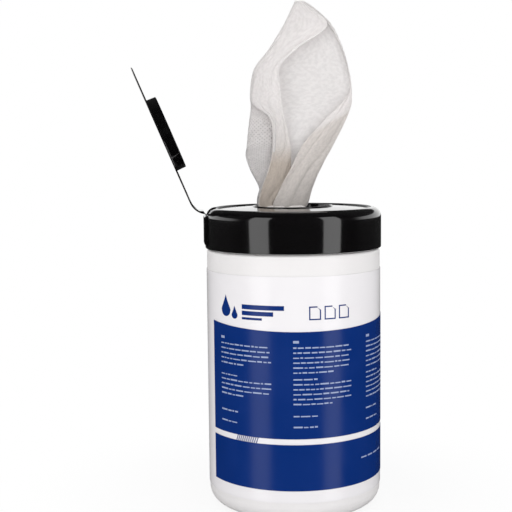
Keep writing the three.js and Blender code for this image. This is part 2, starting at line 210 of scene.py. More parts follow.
floor_ring = [(floor_radius * math.cos(a), floor_radius * math.sin(a), 0)
              for a in (2 * math.pi * i / floor_sides for i in range(floor_sides))]
floor = new_piece("floor", floor_ring, [tuple(range(floor_sides))])
floor_paint, floor_shader = new_material("floor_paint", (floor_white,) * 3, floor_roughness)
floor_shader.inputs["Specular IOR Level"].default_value = 0
tree = floor_paint.node_tree
floor_path = tree.nodes.new("ShaderNodeLightPath")
floor_place = tree.nodes.new("ShaderNodeTexCoord")
from_tub = tree.nodes.new("ShaderNodeVectorMath")
from_tub.operation = "LENGTH"
tree.links.new(floor_place.outputs["Object"], from_tub.inputs[0])
paling = ranged(tree, from_tub.outputs["Value"], start=(paling_start, paling_end),
                end=(floor_shadow_share, 1), smooth=True)
seen_share = maths(tree, "MULTIPLY", floor_path.outputs["Is Camera Ray"],
                   paling.outputs["Result"])
glow = tree.nodes.new("ShaderNodeEmission")
clear = tree.nodes.new("ShaderNodeBsdfTransparent")
paled = mixed(tree, seen_share, floor_shader.outputs[0], glow.outputs[0])
surface = mixed(tree, floor_path.outputs["Is Glossy Ray"], paled, clear.outputs[0])
tree.links.new(surface, tree.nodes["Material Output"].inputs["Surface"])
floor.data.materials.append(floor_paint)

# The tub: white polyethylene, blow-moulded in one piece with a rounded foot, a moulded ring under
# it and a plain neck. Its surface is satin, with a very faint orange peel.
mm = 0.001
tub_radius = 54.2
tub_wall = 1.3
tub_height = 160.95
foot_corner = 10
foot_ring = (26, 34)
foot_ring_depth = 0.8
foot_ring_slope = 0.8
top_corner = 2
neck_radius = 52.4
neck_height = 19.3
neck_bead = 0.45
neck_bead_level = 8.5
neck_bead_rise, neck_bead_fall = 2, 1
tub_white = (0.752, 0.735, 0.735)
tub_depth_share, tub_depth_reach = 0.08, 0.004
wave_detail, wave_rise = 3, 0.0005
smear_scale, smear_detail, smear_range = 45, 5, (0.3, 0.7)
round_steps = 192


def arc(r, z, radius, start, stop, steps=8):
    """Points on an arc round a centre, between two angles in degrees."""
    turns = (math.radians(start + (stop - start) * i / steps) for i in range(steps + 1))
    return [(r + radius * math.cos(a), z + radius * math.sin(a)) for a in turns]


def turned(name, profile, closed=False, steps=round_steps, sharp=35.0):
    """A profile of radius and height in mm, turned round the tub's axis."""
    points, rings, faces = [], [], []
    for r, z in profile:
        if r < 1e-6:
            rings.append([len(points)] * steps)
            points.append((0, 0, z * mm))
            continue
        rings.append(list(range(len(points), len(points) + steps)))
        for i in range(steps):
            angle = 2 * math.pi * i / steps
            points.append((r * mm * math.cos(angle), r * mm * math.sin(angle), z * mm))
    pairs = list(zip(rings, rings[1:]))
    if closed:
        pairs.append((rings[-1], rings[0]))
    for low, high in pairs:
        for i in range(steps):
            j = (i + 1) % steps
            corner = [low[i], low[j], high[j], high[i]]
            face = tuple(dict.fromkeys(corner))
            if len(face) > 2:
                faces.append(face)
    return new_piece(name, points, faces, sharp)


def moulded_surface():
    """A node group: the faint waves and the uneven gloss of a moulded plastic surface."""
    group = bpy.data.node_groups.new("moulded_surface", "ShaderNodeTree")
    face = group.interface
    for label, default in (("Wave Size", 300.0), ("Wave Depth", 0.1),
                           ("Gloss Low", 0.3), ("Gloss High", 0.4)):
        socket = face.new_socket(label, in_out="INPUT", socket_type="NodeSocketFloat")
        socket.default_value = default
    face.new_socket("Roughness", in_out="OUTPUT", socket_type="NodeSocketFloat")
    face.new_socket("Normal", in_out="OUTPUT", socket_type="NodeSocketVector")
    face.new_socket("Mottle", in_out="OUTPUT", socket_type="NodeSocketFloat")
    made, wire = group.nodes, group.links
    entry, leave = made.new("NodeGroupInput"), made.new("NodeGroupOutput")
    place = made.new("ShaderNodeTexCoord")
    waves = made.new("ShaderNodeTexNoise")
    waves.inputs["Detail"].default_value = wave_detail
    wire.new(place.outputs["Object"], waves.inputs["Vector"])
    wire.new(entry.outputs["Wave Size"], waves.inputs["Scale"])
    bump = made.new("ShaderNodeBump")
    bump.inputs["Distance"].default_value = wave_rise
    wire.new(entry.outputs["Wave Depth"], bump.inputs["Strength"])
    wire.new(waves.outputs["Fac"], bump.inputs["Height"])
    wire.new(bump.outputs["Normal"], leave.inputs["Normal"])
    smears = made.new("ShaderNodeTexNoise")
    smears.inputs["Scale"].default_value = smear_scale
    smears.inputs["Detail"].default_value = smear_detail
    wire.new(place.outputs["Object"], smears.inputs["Vector"])
    spread = ranged(group, smears.outputs["Fac"], start=smear_range)
    wire.new(entry.outputs["Gloss Low"], spread.inputs["To Min"])
    wire.new(entry.outputs["Gloss High"], spread.inputs["To Max"])
    wire.new(spread.outputs["Result"], leave.inputs["Roughness"])
    wire.new(smears.outputs["Fac"], leave.inputs["Mottle"])
    return group


surface_group = moulded_surface()


def moulded(name, colour, gloss, wave_size, wave_depth, shade=0.06):
    """A plastic with the moulded surface, its colour mottled by a small share."""
    material, shader = new_material(name, colour, gloss[0])
    made, wire = material.node_tree.nodes, material.node_tree.links
    skin = made.new("ShaderNodeGroup")
    skin.node_tree = surface_group
    skin.inputs["Wave Size"].default_value = wave_size
    skin.inputs["Wave Depth"].default_value = wave_depth
    skin.inputs["Gloss Low"].default_value = gloss[0]
    skin.inputs["Gloss High"].default_value = gloss[1]
    wire.new(skin.outputs["Roughness"], shader.inputs["Roughness"])
    wire.new(skin.outputs["Normal"], shader.inputs["Normal"])
    tint = made.new("ShaderNodeMix")
    tint.data_type = "RGBA"
    tint.inputs["A"].default_value = (*(c * (1 - shade) for c in colour), 1)
    tint.inputs["B"].default_value = (*(min(1.0, c * (1 + shade)) for c in colour), 1)
    wire.new(skin.outputs["Mottle"], tint.inputs["Factor"])
    wire.new(tint.outputs["Result"], shader.inputs["Base Color"])
    return material, shader


bead_z = tub_height + neck_bead_level
neck_top = tub_height + neck_height
tub = turned("canister_tub", [
    (0, 0), (foot_ring[0], 0), (foot_ring[0] + foot_ring_slope, foot_ring_depth),
    (foot_ring[1] - foot_ring_slope, foot_ring_depth), (foot_ring[1], 0),
    *arc(tub_radius - foot_corner, foot_corner, foot_corner, -90, 0, 16),
    *arc(tub_radius - top_corner, tub_height - top_corner, top_corner, 0, 78, 8),
    (neck_radius, tub_height), (neck_radius, bead_z - neck_bead_rise),
    (neck_radius + neck_bead, bead_z), (neck_radius, bead_z + neck_bead_fall),
    (neck_radius, neck_top - tub_wall / 2),
    (neck_radius - tub_wall / 2, neck_top), (neck_radius - tub_wall, neck_top),
    (neck_radius - tub_wall, tub_height - tub_wall),
    (tub_radius - tub_wall, tub_height - tub_wall - top_corner),
    *arc(tub_radius - foot_corner, foot_corner, foot_corner - tub_wall, 0, -90, 12),
    (0, tub_wall),
])
tub_plastic, tub_shader = moulded("tub_polyethylene", tub_white, gloss=(0.34, 0.44),
                                  wave_size=260, wave_depth=0.25, shade=0.02)
tub_shader.inputs["Subsurface Weight"].default_value = tub_depth_share
tub_shader.inputs["Subsurface Radius"].default_value = (tub_depth_reach,) * 3
tub.data.materials.append(tub_plastic)
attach(tub, "canister")
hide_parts("canister")

# The label: a white plastic film wrapped round the tub, with its ends lapped at the back beside
# the hinge side.
film_gap = 0.1
film_thickness = 0.3
film_bottom = 13
film_top = 148.5
film_inner = tub_radius + film_gap
film_outer = film_inner + film_thickness
film_colour = (0.778, 0.76, 0.776)
lap_angle = 245
lap_width = 9
lap_thickness = 0.12


def curved(name, patches, inner, thickness, step=1.2):
    """Thin patches bent round the tub. A patch is four corners of arc length and height in mm."""
    points, faces = [], []
    outer = inner + thickness
    for low_left, low_right, high_right, high_left in patches:
        span = max(low_right[0], high_right[0]) - min(low_left[0], high_left[0])
        count = max(1, math.ceil(span / step))
        base = len(points)
        for i in range(count + 1):
            t = i / count
            for end, start in ((low_right, low_left), (high_right, high_left)):
                s = start[0] + (end[0] - start[0]) * t
                z = start[1] + (end[1] - start[1]) * t
                angle = s / outer - math.pi / 2
                for r in (inner, outer):
                    points.append((r * mm * math.cos(angle), r * mm * math.sin(angle), z * mm))
        for i in range(count):
            a, b = base + 4 * i, base + 4 * i + 4
            faces += [(a + 1, b + 1, b + 3, a + 3), (a, a + 2, b + 2, b),
                      (a, b, b + 1, a + 1), (a + 2, a + 3, b + 3, b + 2)]
        last = base + 4 * count
        faces += [(base, base + 1, base + 3, base + 2), (last, last + 2, last + 3, last + 1)]
    return new_piece(name, points, faces, sharp=50)


def arc_length(angle):
    """The way round the film's face, in mm, at an angle from the tub's front in degrees."""
    return math.radians(angle) * film_outer


film = turned("label_film", [(film_outer, film_bottom), (film_outer, film_top),
                             (film_inner, film_top), (film_inner, film_bottom)], closed=True)
lap_left, lap_right = arc_length(lap_angle), arc_length(lap_angle) + lap_width
lap = curved("label_lap", [((lap_left, film_bottom), (lap_right, film_bottom),
                            (lap_right, film_top), (lap_left, film_top))],
             film_outer, lap_thickness)
film_white, _ = moulded("label_film_white", film_colour, gloss=(0.16, 0.24),
                        wave_size=60, wave_depth=0.06, shade=0.015)
for piece in (film, lap):
    piece.data.materials.append(film_white)
    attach(piece, "canister")
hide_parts("label")

# The printing: a tall blue field whose top edge dips at the front, a low blue field, and a bare
# stripe between them.
ink_start = -69.6
ink_end = 212
ink_thickness = 0.1
ink_inner = film_outer + film_gap
ink_outer = ink_inner + ink_thickness
panel_low, panel_high = 52.0, 116.0
panel_tilt = math.radians(4.9)
band_low, band_high = 20.5, 48.5
field_steps = 190
navy = (0.0004, 0.0225, 0.158)
navy_specular = 0.3


def tilted_edge(angle):
    """The height of the tall field's top edge, lowest at the tub's front."""
    return panel_high + film_outer * (1 - math.cos(math.radians(angle))) * math.tan(panel_tilt)


panel_patches, band_patches = [], []
for i in range(field_steps):
    left = ink_start + (ink_end - ink_start) * i / field_steps
    right = ink_start + (ink_end - ink_start) * (i + 1) / field_steps
    sl, sr = arc_length(left), arc_length(right)
    panel_patches.append((sl, sr, tilted_edge(left), tilted_edge(right)))
    band_patches.append((sl, sr, band_high, band_high))


def field(name, columns, low):
    """One closed skin from neighbouring columns of arc length and top height."""
    points, faces = [], []
    edges = [(columns[0][0], columns[0][2])] + [(c[1], c[3]) for c in columns]
    for s, top in edges:
        angle = s / film_outer - math.pi / 2
        for r in (ink_inner, ink_outer):
            for z in (low, top):
                points.append((r * mm * math.cos(angle), r * mm * math.sin(angle), z * mm))
    for i in range(len(edges) - 1):
        a, b = 4 * i, 4 * i + 4
        faces += [(a + 2, b + 2, b + 3, a + 3), (a, a + 1, b + 1, b),
                  (a, b, b + 2, a + 2), (a + 1, a + 3, b + 3, b + 1)]
    last = 4 * (len(edges) - 1)
    faces += [(0, 2, 3, 1), (last, last + 1, last + 3, last + 2)]
    return new_piece(name, points, faces, sharp=50)


ink_blue, ink_shader = moulded("label_ink_blue", navy, gloss=(0.2, 0.26),
                               wave_size=60, wave_depth=0.06, shade=0.1)
ink_shader.inputs["Specular IOR Level"].default_value = navy_specular
panel = field("label_panel_print", panel_patches, panel_low)
band = field("label_band_print", band_patches, band_low)
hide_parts("label_blue_panel")
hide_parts("label_blue_band")
for piece in (panel, band):
    piece.data.materials.append(ink_blue)
    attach(piece, "canister")

# The small marks: plain dashes in columns, in pale ink on the tall field, and simple pictures in
# navy above it, of drops, bars and sheets. Slanting strokes cross the bare stripe.
front_angle = -6.6
column_angles = [-53.3, -0.4, 52.8, 106.0, 159.0]
column_width = 40.0
full_share, short_share = 0.93, 0.36
line_pitch = 2.95
dash_height = 0.62
dash_thickness = 0.05
print_gap = 0.02
word_widths = (1.3, 6.2)
word_gaps = (0.6, 0.95)
word_rises = (0.0, 0.3)
least_word = 1.5
last_line_share = (0.35, 0.95)
heading_z = 109.4
heading_width, heading_height = 3.4, 1.5
paragraphs = [(106.2, 6), (87.4, 1), (84.4, 5), (65.4, 1), (58.8, 1)]
note_angle = 47.7
note_count, note_pitch, note_width = 4, 7, 5.4
note_low, note_high = 35.6, 36.4
pale_ink = (0.30, 0.36, 0.54)
dice = random.Random(7)
dash_patches = []


def rectangle(left, right, low, high, slant=0.0):
    """Four corners of a patch; slant moves its top edge along."""
    return ((left, low), (right, low), (right + slant, high), (left + slant, high))


for column, angle in enumerate(column_angles):
    left = arc_length(angle + front_angle)
    dash_patches.append(rectangle(left, left + heading_width,
                                  heading_z, heading_z + heading_height))
    for start_z, count in paragraphs:
        short = count == 1
        lines = count - (1 if column == 0 and not short else 0)
        for line in range(lines):
            low = start_z - line * line_pitch
            reach = column_width * (short_share if short else full_share)
            if not short and line == lines - 1:
                reach *= dice.uniform(*last_line_share)
            s = left
            while s < left + reach - least_word:
                word = min(dice.uniform(*word_widths), left + reach - s)
                step_up = dice.uniform(*word_rises)
                dash_patches.append(rectangle(s, s + word, low, low + dash_height + step_up))
                s += word + dice.uniform(*word_gaps)
for i in range(note_count):
    left = arc_length(note_angle + front_angle) + note_pitch * i
    dash_patches.append(rectangle(left, left + note_width, note_low, note_high))
dashes = curved("label_dashes", dash_patches, ink_outer + print_gap, dash_thickness)
dash_ink, _ = moulded("label_ink_pale", pale_ink, gloss=(0.25, 0.32),
                      wave_size=60, wave_depth=0.05, shade=0.08)
dashes.data.materials.append(dash_ink)
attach(dashes, "canister")

stroke_angle = -39.8
stroke_count, stroke_pitch, stroke_width, stroke_slant = 11, 1.42, 0.62, 1.3
drops_angle = -52.5
drop_slices = 24
drop_point_power = 1.6
# Each drop: where it starts, its width, the height of its widest place, and how far its round
# bottom, its round top and its point reach from there.
drops = [(0.0, 8.4, 127.2, 4.2, 2.31, 6.65), (9.4, 4.8, 124.6, 2.4, 1.3, 4.2)]
bars_start = 17.5
bars = [(27.0, 128.6, 131.4), (20.5, 125.0, 127.6), (13.5, 122.4, 123.8)]
page_angle = 9.6
page_count, page_pitch, page_width = 3, 9.4, 7.2
page_low, page_high = 122.9, 131.0
page_corner, page_line = 2.2, 0.75
navy_patches = []
for i in range(stroke_count):
    left = arc_length(stroke_angle + front_angle) + i * stroke_pitch
    navy_patches.append(rectangle(left, left + stroke_width, band_high, panel_low, stroke_slant))
drops_left = arc_length(drops_angle + front_angle)
for start, width, middle_z, bottom, crown, point in drops:
    edges = []
    for i in range(drop_slices + 1):
        across = abs(2 * i / drop_slices - 1)
        swell = math.sqrt(max(0.0, 1 - across * across))
        edges.append((drops_left + start + width * i / drop_slices, middle_z - bottom * swell,
                      middle_z + crown * swell + point * (1 - across) ** drop_point_power))
    for (sa, low_a, high_a), (sb, low_b, high_b) in zip(edges, edges[1:]):
        navy_patches.append(((sa, low_a), (sb, low_b), (sb, high_b), (sa, high_a)))
for length, low, high in bars:
    left = drops_left + bars_start
    navy_patches.append(rectangle(left, left + length, low, high))
for i in range(page_count):
    left = arc_length(page_angle + front_angle) + i * page_pitch
    right, inside = left + page_width, page_high - page_line
    corner_left, corner_z = left + page_width - page_corner, page_high - page_corner
    navy_patches += [
        rectangle(left, right, page_low, page_low + page_line),
        rectangle(left, corner_left, inside, page_high),
        rectangle(left, left + page_line, page_low + page_line, inside),
        rectangle(right - page_line, right, page_low + page_line, corner_z),
        ((corner_left - page_line, page_high), (corner_left, inside), (right, corner_z),
         (right - page_line, corner_z)),
    ]
marks = curved("label_marks", navy_patches, film_outer + print_gap, dash_thickness)
marks.data.materials.append(ink_blue)
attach(marks, "canister")

# The cap: glossy black polypropylene, moulded in one piece. Its round shoulder stands round a
# shallow recess for the lid, and a star-slit floor lies at the bottom of the well.
cap_radius = 55.1
cap_height = 24.95
cap_wall = 1.8
seat_gap = 0.5
shoulder_radius = 6
inner_corner = 6.5
skirt_edge = 0.5
recess_radius = 49
recess_depth = 0.75
recess_groove = 0.35
crown_rise = 1.15
well_radius = 24.2
well_wall = 1.4
well_depth = 6.8
mouth_bead = (1.0, 0.6)
petal_thickness = 1.2
petal_hole = 7.2
slit_count = 8
slit_width = 1.0
slit_reach = 15
snap_gap = 0.1
snap_half = 2
edge_break = 0.1
groove_corner = 0.15
well_corner = 0.6
black = (0.0035, 0.0032, 0.0035)
coat_weight, coat_roughness = 0.8, 0.07
cap_top = tub_height + seat_gap + cap_height
skirt_bottom = cap_top - cap_height
recess_floor = cap_top - recess_depth
crown_top = recess_floor + crown_rise
well_floor = crown_top + mouth_bead[1] - well_depth
shoulder = (cap_radius - shoulder_radius, cap_top - shoulder_radius)
snap_radius = neck_radius + neck_bead + snap_gap
snap_z = tub_height + neck_bead_level - 2 * snap_half


def cut(piece, tool, operation):
    """Join, or cut away, a tool's solid, and delete the tool."""
    change = piece.modifiers.new("cut", "BOOLEAN")
    change.operation = operation
    change.solver = "EXACT"
    change.object = tool
    bpy.context.view_layer.update()
    graph = bpy.context.evaluated_depsgraph_get()
    made = bpy.data.meshes.new_from_object(piece.evaluated_get(graph))
    piece.modifiers.clear()
    piece.data = made
    bpy.data.objects.remove(tool)


def finished(piece, sharp=32.0):
    """Smooth the faces of a piece that was cut, but for its sharper edges."""
    piece.data.polygons.foreach_set("use_smooth", [True] * len(piece.data.polygons))
    piece.data.set_sharp_from_angle(angle=math.radians(sharp))


def prism(name, outline, width):
    """An outline in the X-Z plane, in mm, as a bar along Y centred on it."""
    count = len(outline)
    points = [(x * mm, y * mm, z * mm) for y in (-width / 2, width / 2) for x, z in outline]
    faces = [tuple(range(count)), tuple(range(2 * count - 1, count - 1, -1))]
    for i in range(count):
        j = (i + 1) % count
        faces.append((j, i, count + i, count + j))
    return new_piece(name, points, faces)


cap = turned("cap_shell", [
    (0, well_floor - petal_thickness), (well_radius + well_wall, well_floor - petal_thickness),
    (well_radius + well_wall, recess_floor - cap_wall + crown_rise - mouth_bead[1]),
    *arc(cap_radius - cap_wall - inner_corner, recess_floor - cap_wall - inner_corner,
         inner_corner, 90, 0, 8),
    (cap_radius - cap_wall, snap_z + snap_half), (snap_radius, snap_z),
    (cap_radius - cap_wall, snap_z - snap_half), (cap_radius - cap_wall, skirt_bottom),
    *arc(cap_radius - skirt_edge, skirt_bottom + skirt_edge, skirt_edge, -90, 0, 4),
    *arc(*shoulder, shoulder_radius, 0, 90, 20),
    (recess_radius, cap_top - edge_break),
    (recess_radius, recess_floor - recess_groove + groove_corner),
    (recess_radius - groove_corner, recess_floor - recess_groove),
    (well_radius + mouth_bead[0] + edge_break, crown_top),
    (well_radius + mouth_bead[0], crown_top + edge_break),
    *arc(well_radius + mouth_bead[0] / 2, crown_top + mouth_bead[1] - mouth_bead[0] / 2,
         mouth_bead[0] / 2, 0, 180, 8),
    (well_radius, well_floor + well_corner), (well_radius - well_corner, well_floor),
    (0, well_floor),
])
star = []
for i in range(slit_count):
    middle = 2 * math.pi * i / slit_count
    half = slit_width / 2
    inset = math.sqrt(petal_hole ** 2 - half ** 2)
    for along, across in ((inset, -half), (slit_reach, -half), (slit_reach, half), (inset, half)):
        star.append((along * math.cos(middle) - across * math.sin(middle),
                     along * math.sin(middle) + across * math.cos(middle)))
    for share in (0.25, 0.5, 0.75):
        turn = middle + share * 2 * math.pi / slit_count
        star.append((petal_hole * math.cos(turn), petal_hole * math.sin(turn)))
star_low, star_high = well_floor - 2 * petal_thickness, well_floor + petal_thickness
star_points = [(x * mm, y * mm, z * mm) for z in (star_low, star_high) for x, y in star]
count = len(star)
star_faces = [tuple(range(count - 1, -1, -1)), tuple(range(count, 2 * count))]
star_faces += [(i, (i + 1) % count, count + (i + 1) % count, count + i) for i in range(count)]
cut(cap, new_piece("star_cutter", star_points, star_faces), "DIFFERENCE")

hinge_width = 20
hinge_side_gap = 0.4
channel_depth = 1.2
pocket_depth = 2.05
pad_proud = 0.75
pad_chamfer = 1.3
hinge = (-55.05, cap_top - 3.6)
hinge_side = [(-70, 170), (-38, 170), (-38, 200), (-70, 200)]


def shoulder_band(name, depth, start, stop):
    """A cutter that follows the round shoulder at the hinge, between two angles in degrees."""
    slot = turned(name, arc(*shoulder, shoulder_radius - depth, stop, start, 16)
                  + arc(*shoulder, shoulder_radius * 1.5, start, stop, 16), closed=True)
    cut(slot, prism("keep", hinge_side, hinge_width + 2 * hinge_side_gap), "INTERSECT")
    return slot


cut(cap, shoulder_band("channel_cutter", channel_depth, 18, 96), "DIFFERENCE")
cut(cap, shoulder_band("pocket_cutter", pocket_depth, 22, 57), "DIFFERENCE")
pad_face = -cap_radius - pad_proud
pad_top = cap_top - 4.5
pad_low = skirt_bottom + 1.6
pad_root = -cap_radius + 1.08
pad_outline = [(pad_root, pad_low), (pad_face + pad_chamfer, pad_low),
               (pad_face, pad_low + pad_chamfer), (pad_face, pad_top - pad_proud),
               (pad_face + pad_proud, pad_top), (pad_root, pad_top)]
cut(cap, prism("pad", pad_outline[::-1], hinge_width), "UNION")
finished(cap)
cap_plastic, cap_shader = moulded("cap_polypropylene", black, gloss=(0.09, 0.14),
                                  wave_size=220, wave_depth=0.02, shade=0.3)
cap_shader.inputs["Coat Weight"].default_value = coat_weight
cap_shader.inputs["Coat Roughness"].default_value = coat_roughness
cap.data.materials.append(cap_plastic)
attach(cap, "cap")
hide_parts("cap")

# The lid: the same black plastic, moulded with the cap. A thin disc carries the plug ring that
# fits the well, and a curled leg joins it to the hinge. It stands open here.
open_turn = math.radians(112.86)
lid_radius = 45.5
lid_thickness = 1.0
lid_lift = 5.47
leg_turn = math.radians(57)
lip_height = 0.7
lip_turns = (math.radians(41), math.radians(52.5))
plug_radius = 23.6
plug_wall = 1.2
plug_depth = 6.0
plug_taper = 0.2
plug_lead = 0.3
web_half = 1.26
web_turn = math.radians(133)
web_shut = web_turn - open_turn
under, over = lid_lift - lid_thickness / 2, lid_lift + lid_thickness / 2
edge = 0.35
plug_inner, plug_low = plug_radius - plug_wall, under - plug_depth
lid = turned("lid_flap", [
    (0, under), (plug_inner, under), (plug_inner - plug_taper, plug_low + plug_lead),
    (plug_inner - plug_taper + plug_lead, plug_low),
    (plug_radius - plug_taper - plug_lead, plug_low),
    (plug_radius - plug_taper, plug_low + plug_lead), (plug_radius, under),
    (lid_radius - edge, under), (lid_radius, under + edge), (lid_radius, over - edge),
    (lid_radius - edge, over), (0, over),
])
foot = (web_half * math.cos(web_shut), web_half * math.sin(web_shut))
leg_radius = (lid_lift - foot[1]) / (1 - math.cos(leg_turn))
bend = (foot[0] + leg_radius * math.sin(leg_turn), lid_lift - leg_radius)


def on_leg(distance, turn):
    """A point of the leg, at a distance from its centre of bend."""
    return (bend[0] - distance * math.sin(turn) + hinge[0], bend[1] + distance * math.cos(turn))


leg_steps = 14
root_x = -lid_radius + 4
leg_outer, leg_inner = leg_radius + lid_thickness / 2, leg_radius - lid_thickness / 2
leg_outline = [(root_x, under + edge), (root_x, over - edge)]
leg_outline += [on_leg(leg_outer, leg_turn * i / leg_steps) for i in range(leg_steps + 1)]
leg_outline += [on_leg(leg_inner, leg_turn), on_leg(leg_inner - lip_height, lip_turns[1])]
leg_outline += [on_leg(leg_inner, lip_turns[0] * i / leg_steps)
                for i in range(leg_steps, -1, -1)]
cut(lid, prism("leg", leg_outline[::-1], hinge_width), "UNION")
finished(lid)
swing = (Matrix.Translation((hinge[0] * mm, 0, hinge[1] * mm))
         @ Matrix.Rotation(-open_turn, 4, "Y") @ Matrix.Translation((-hinge[0] * mm, 0, 0)))
lid.data.transform(swing)
lid.data.materials.append(cap_plastic)
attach(lid, "lid")
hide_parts("lid")

# The living hinge: the thin web of the same plastic between the cap's pad and the lid's leg.
web_reach = web_half + 0.5
web_thin = 0.3
web_flare = 0.9
web_side = hinge_width / 2 - 0.2
web_steps = 16
web_along = Vector((math.cos(web_turn), 0, math.sin(web_turn)))
web_across = Vector((-math.sin(web_turn), 0, math.cos(web_turn)))
web_middle = Vector((hinge[0], 0, hinge[1]))
web_points, web_faces = [], []
for i in range(web_steps + 1):
    along = -web_reach + 2 * web_reach * i / web_steps
    thick = web_thin / 2 * (1 + web_flare * abs(along / web_reach) ** 3)
    for side in (-1, 1):
        for y in (-web_side, web_side):
            spot = web_middle + web_along * along + web_across * side * thick
            web_points.append((spot.x * mm, y * mm, spot.z * mm))
for i in range(web_steps):
    a, b = 4 * i, 4 * i + 4
    web_faces += [(a, b, b + 1, a + 1), (a + 2, a + 3, b + 3, b + 2),
                  (a, a + 2, b + 2, b), (a + 1, b + 1, b + 3, a + 3)]
end = 4 * web_steps
web_faces += [(0, 1, 3, 2), (end, end + 2, end + 3, end + 1)]
web = new_piece("hinge_web", web_points, web_faces)
web.data.materials.append(cap_plastic)
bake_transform(web)

# The roll: one long perforated strip of damp nonwoven, wound without a core. Its turns show on
# the ends.
roll_radius = 50.0
roll_height = 150
roll_low = tub_wall + 0.3
roll_high = roll_low + roll_height
core_radius = 14.0
roll_corner = 5.8
roll_turns = 40
turn_groove = 0.7
turn_flat = (0.3, 0.7)
outer_turn_drop = 0.8
roll_colour = (0.70, 0.68, 0.66)
dot_scatter, dot_rise = 0.12, 0.0004
fibre_scale, fibre_detail, fibre_rise = 550, 4, 0.0002
roll_profile = [(core_radius, roll_low),
                *arc(roll_radius - roll_corner, roll_low + roll_corner, roll_corner, -90, 0, 6),
                (roll_radius, roll_high - outer_turn_drop)]
pitch = (roll_radius - core_radius) / roll_turns
for i in range(roll_turns):
    outside = roll_radius - i * pitch
    roll_profile += [(outside - share * pitch, roll_high) for share in turn_flat]
    roll_profile.append((outside - pitch, roll_high - turn_groove))


def cloth_surface():
    """A node group: the embossed dots and the fibres of the cloth, by a place in metres."""
    group = bpy.data.node_groups.new("cloth_surface", "ShaderNodeTree")
    face = group.interface
    for label, default in (("Dot Pitch", 1.0), ("Dot Depth", 0.5), ("Fibre Depth", 0.3)):
        socket = face.new_socket(label, in_out="INPUT", socket_type="NodeSocketFloat")
        socket.default_value = default
    face.new_socket("Cloth Place", in_out="INPUT", socket_type="NodeSocketVector")
    face.new_socket("Normal", in_out="OUTPUT", socket_type="NodeSocketVector")
    face.new_socket("Dots", in_out="OUTPUT", socket_type="NodeSocketFloat")
    face.new_socket("Fibres", in_out="OUTPUT", socket_type="NodeSocketFloat")
    made, wire = group.nodes, group.links
    entry, leave = made.new("NodeGroupInput"), made.new("NodeGroupOutput")
    per_metre = made.new("ShaderNodeMath")
    per_metre.operation = "DIVIDE"
    per_metre.inputs[0].default_value = 1 / mm
    wire.new(entry.outputs["Dot Pitch"], per_metre.inputs[1])
    dots = made.new("ShaderNodeTexVoronoi")
    dots.inputs["Randomness"].default_value = dot_scatter
    wire.new(entry.outputs["Cloth Place"], dots.inputs["Vector"])
    wire.new(per_metre.outputs[0], dots.inputs["Scale"])
    fibres = made.new("ShaderNodeTexNoise")
    fibres.inputs["Scale"].default_value = fibre_scale
    fibres.inputs["Detail"].default_value = fibre_detail
    wire.new(entry.outputs["Cloth Place"], fibres.inputs["Vector"])
    dot_bump = made.new("ShaderNodeBump")
    dot_bump.inputs["Distance"].default_value = dot_rise
    wire.new(entry.outputs["Dot Depth"], dot_bump.inputs["Strength"])
    wire.new(dots.outputs["Distance"], dot_bump.inputs["Height"])
    fibre_bump = made.new("ShaderNodeBump")
    fibre_bump.inputs["Distance"].default_value = fibre_rise
    wire.new(entry.outputs["Fibre Depth"], fibre_bump.inputs["Strength"])
    wire.new(fibres.outputs["Fac"], fibre_bump.inputs["Height"])
    wire.new(dot_bump.outputs["Normal"], fibre_bump.inputs["Normal"])
    wire.new(fibre_bump.outputs["Normal"], leave.inputs["Normal"])
    wire.new(dots.outputs["Distance"], leave.inputs["Dots"])
    wire.new(fibres.outputs["Fac"], leave.inputs["Fibres"])
    return group


cloth_group = cloth_surface()
# Painted shade: the sheet's colour is darkened towards this share on the folded strips, at its
# foot and below the line of the fold's shadow on the right strip.
painted_fold_shade = (0.51, 0.455, 0.40)
pit_reach = (0.08, 0.31)
pit_shade = 0.95
pit_shade_faint, pit_shade_deep = 0.97, 0.36
fibre_spread = (0.4, 0.6)
fibre_shades = (0.91, 1.07)
cloth_roughness, cloth_sheen = 0.95, 0.15
# Where the painted shade lies, the sheet lets through only this share of its light from behind.
faint_dots, shaded_see_through = 0.15, 0.3


